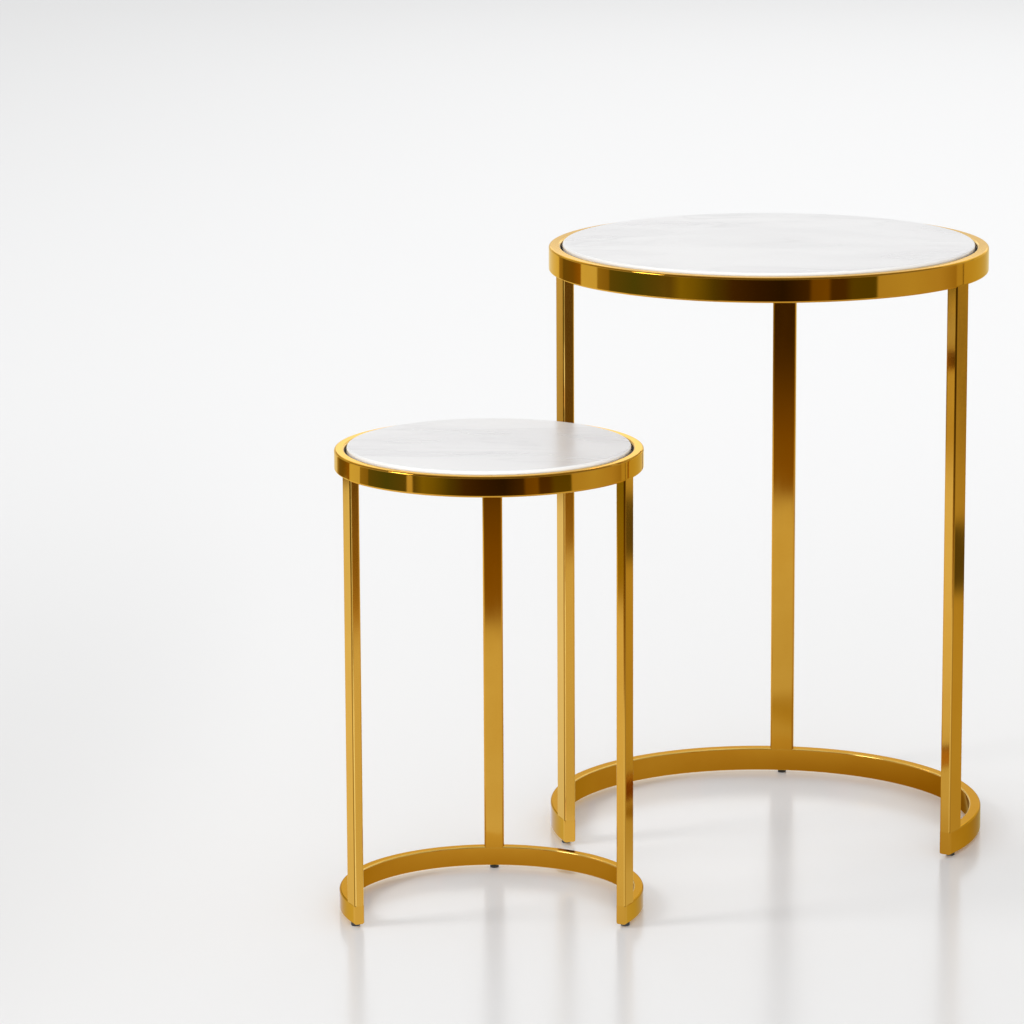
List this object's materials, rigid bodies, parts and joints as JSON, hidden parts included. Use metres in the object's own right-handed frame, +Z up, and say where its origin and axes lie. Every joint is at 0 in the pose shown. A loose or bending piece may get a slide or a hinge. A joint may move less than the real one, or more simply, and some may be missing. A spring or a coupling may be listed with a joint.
{
  "type": "nesting tables",
  "caption": "Pair of round side tables with inset marble discs on gold tube frames; C-shaped bases let the small table slide in under the large one.",
  "frame": {"origin": "centre of the floor rectangle that the pair covers as it stands, on the floor under the glides", "axes": "+Z up; the large table's open side faces -Y, which is the front; +X is to the right seen from the front; the small table stands in front to the left"},
  "size_m": [0.6166, 0.7124, 0.618],
  "materials": {
    "polished_gold": "polished gold plating with a fine satin grain along the tube",
    "white_marble": "honed and polished white marble with faint grey veins",
    "black_glide": "matte black nylon",
    "clear_bumper": "milky soft rubber"
  },
  "bodies": {
    "large_frame": {"large_base": "polished_gold", "large_bumper_1": "clear_bumper", "large_bumper_2": "clear_bumper", "large_bumper_3": "clear_bumper", "large_bumper_4": "clear_bumper", "large_end_plate_left": "polished_gold", "large_end_plate_right": "polished_gold", "large_glide_back": "black_glide", "large_glide_left": "black_glide", "large_glide_right": "black_glide", "large_leg_back": "polished_gold", "large_leg_left": "polished_gold", "large_leg_right": "polished_gold", "large_rim": "polished_gold", "large_support_tab_1": "polished_gold", "large_support_tab_2": "polished_gold", "large_support_tab_3": "polished_gold", "large_support_tab_4": "polished_gold"},
    "large_top": {"large_marble_top": "white_marble"},
    "small_frame": {"small_base": "polished_gold", "small_bumper_1": "clear_bumper", "small_bumper_2": "clear_bumper", "small_bumper_3": "clear_bumper", "small_bumper_4": "clear_bumper", "small_end_plate_left": "polished_gold", "small_end_plate_right": "polished_gold", "small_glide_back": "black_glide", "small_glide_left": "black_glide", "small_glide_right": "black_glide", "small_leg_back": "polished_gold", "small_leg_left": "polished_gold", "small_leg_right": "polished_gold", "small_rim": "polished_gold", "small_support_tab_1": "polished_gold", "small_support_tab_2": "polished_gold", "small_support_tab_3": "polished_gold", "small_support_tab_4": "polished_gold"},
    "small_top": {"small_marble_top": "white_marble"}
  },
  "joints": [
    {"name": "large_top_lift", "type": "slide", "parent": "large_frame", "child": "large_top", "axis": [0, 0, 1], "range_m": [0, 0.06]},
    {"name": "small_nest", "type": "hinge", "parent": "large_frame", "child": "small_frame", "pos_m": [-0.44171, 0.34122, 0], "axis": [0, 0, 1], "range_deg": [0, 38.5]},
    {"name": "small_top_lift", "type": "slide", "parent": "small_frame", "child": "small_top", "axis": [0, 0, 1], "range_m": [0, 0.05]}
  ]
}
